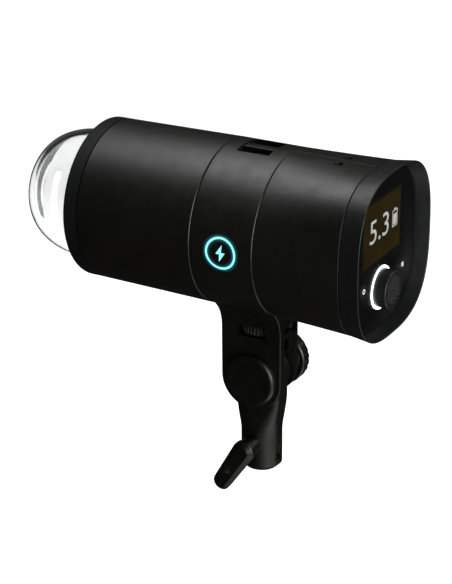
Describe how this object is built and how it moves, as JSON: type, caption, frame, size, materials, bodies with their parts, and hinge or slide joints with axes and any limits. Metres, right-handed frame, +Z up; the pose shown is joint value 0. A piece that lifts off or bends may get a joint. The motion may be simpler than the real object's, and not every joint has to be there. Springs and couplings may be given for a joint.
{
  "type": "monolight strobe",
  "caption": "Round battery studio flash head with glass dome, rear dial and display, strap bar, and a tilting bracket with umbrella hole and stand socket.",
  "frame": {"origin": "centre of the stand socket's mouth, on the bottom face of the adapter", "axes": "+Z up along the stand socket, -Y the way the light leaves, +Y towards the control panel, +X towards the emblem side"},
  "size_m": [0.102, 0.2458, 0.2228],
  "materials": {
    "satin_black": "satin black paint",
    "bezel_black": "fine matt moulding",
    "collar_rubber": "matt moulded rubber",
    "panel_black": "dark semi-gloss",
    "bracket_nylon": "glass-filled nylon, fine grain",
    "dial_black": "soft-touch black",
    "button_black": "matt moulding",
    "clear_glass": "clear polished",
    "quartz": "clear quartz",
    "display_glass": "polished window over a lit screen",
    "cup_white": "matt white, heat resistant",
    "emblem_light": "lit translucent inlay",
    "ring_light": "lit translucent ring",
    "brass": "turned",
    "steel": "zinc plated",
    "aluminium": "machined",
    "fibre": "fibre friction washer",
    "ceramic": "unglazed ceramic",
    "led_board": "phosphor and board",
    "can_sleeve": "shrink sleeve",
    "cell_wrap": "shrink wrap",
    "inner_black": "plain moulding",
    "board_green": "solder mask"
  },
  "bodies": {
    "adapter": {"stand_adapter": "bracket_nylon", "socket_sleeve": "brass", "friction_washers": "fibre"},
    "lock_pad": {"lock_pad": "brass"},
    "lock_lever": {"lock_lever": "bracket_nylon", "lock_screw": "steel", "lever_screw": "steel"},
    "knob_washer": {"knob_washer": "steel"},
    "tilt_knob": {"tilt_knob": "bracket_nylon", "knob_insert": "brass"},
    "umbrella_wheel": {"umbrella_wheel": "bracket_nylon"},
    "umbrella_pin": {"umbrella_pin": "steel"},
    "encoder": {"encoder_plunger": "inner_black"},
    "dial": {"dial_knob": "dial_black", "dial_grip": "dial_black", "encoder_shaft": "steel"},
    "power_button": {"power_button": "button_black"},
    "menu_button": {"menu_button": "button_black"},
    "fan": {"fan_rotor": "inner_black"},
    "port_cover": {"port_cover": "collar_rubber"},
    "head": {"front_barrel_left": "satin_black", "front_barrel_right": "satin_black", "yoke_ring": "satin_black", "rear_shell_left": "satin_black", "rear_shell_right": "satin_black", "strap_bar": "satin_black", "rear_bezel": "bezel_black", "front_collar": "collar_rubber", "control_panel": "panel_black", "tilt_bracket": "bracket_nylon", "pivot_cap": "bracket_nylon", "glass_dome": "clear_glass", "flash_tube": "quartz", "display_window": "display_glass", "emitter_cup": "cup_white", "emblem_window": "emblem_light", "dial_light_ring": "ring_light", "bracket_screws": "steel", "tilt_bolt": "steel", "bulkhead_screws": "steel", "shell_screws": "steel", "led_heat_sink": "aluminium", "bulkhead": "aluminium", "reflector_plate": "aluminium", "tube_socket": "ceramic", "modelling_led": "led_board", "capacitors": "can_sleeve", "battery_cells": "cell_wrap", "cell_holders": "inner_black", "fan_frame": "inner_black", "encoder_body": "inner_black", "button_switches": "inner_black", "charge_socket": "inner_black", "display_module": "inner_black", "flash_board": "board_green", "power_board": "board_green", "control_board": "board_green"}
  },
  "joints": [
    {"name": "head_tilt", "type": "hinge", "parent": "adapter", "child": "head", "pos_m": [0, 0, 0.0644], "axis": [1, 0, 0], "range_deg": [-90, 90]},
    {"name": "lock_travel", "type": "slide", "parent": "adapter", "child": "lock_pad", "axis": [1, 0, 0], "range_m": [0, 0.00125]},
    {"name": "lock_turn", "type": "hinge", "parent": "lock_pad", "child": "lock_lever", "pos_m": [0, 0, 0.0188], "axis": [1, 0, 0], "range_deg": [0, 360]},
    {"name": "knob_travel", "type": "slide", "parent": "head", "child": "knob_washer", "axis": [-1, 0, 0], "range_m": [0, 0.00125]},
    {"name": "knob_turn", "type": "hinge", "parent": "knob_washer", "child": "tilt_knob", "pos_m": [0, 0, 0.0644], "axis": [-1, 0, 0], "range_deg": [0, 360]},
    {"name": "umbrella_wheel_turn", "type": "hinge", "parent": "head", "child": "umbrella_wheel", "pos_m": [0, 0, 0.0962], "axis": [0, 0, 1], "range_deg": [0, 360]},
    {"name": "umbrella_pin_travel", "type": "slide", "parent": "head", "child": "umbrella_pin", "axis": [0, 0, -1], "range_m": [0, 0.0015]},
    {"name": "dial_press", "type": "slide", "parent": "head", "child": "encoder", "axis": [0, -1, 0], "range_m": [0, 0.0006], "stiffness_N_per_m": 2500, "springref_m": -0.0004},
    {"name": "dial_turn", "type": "hinge", "parent": "encoder", "child": "dial", "pos_m": [0, 0, 0.1365], "axis": [0, 1, 0], "continuous": true},
    {"name": "power_press", "type": "slide", "parent": "head", "child": "power_button", "axis": [0, -1, 0], "range_m": [0, 0.0005], "stiffness_N_per_m": 2500, "springref_m": -0.0004},
    {"name": "menu_press", "type": "slide", "parent": "head", "child": "menu_button", "axis": [0, -1, 0], "range_m": [0, 0.0005], "stiffness_N_per_m": 2500, "springref_m": -0.0004},
    {"name": "fan_spin", "type": "hinge", "parent": "head", "child": "fan", "pos_m": [0, 0.0593, 0.1603], "axis": [0, 1, 0], "continuous": true},
    {"name": "port_cover_swing", "type": "hinge", "parent": "head", "child": "port_cover", "pos_m": [-0.04769, 0.046, 0.1471], "axis": [-0.0316, -0.9995, 0], "range_deg": [0, 110]}
  ],
  "couplings": [
    {"joint": "lock_travel", "follows": "lock_turn", "m_per_rad": 0.00019894},
    {"joint": "knob_travel", "follows": "knob_turn", "m_per_rad": 0.00019894},
    {"joint": "umbrella_pin_travel", "follows": "umbrella_wheel_turn", "m_per_rad": 0.00023873}
  ]
}
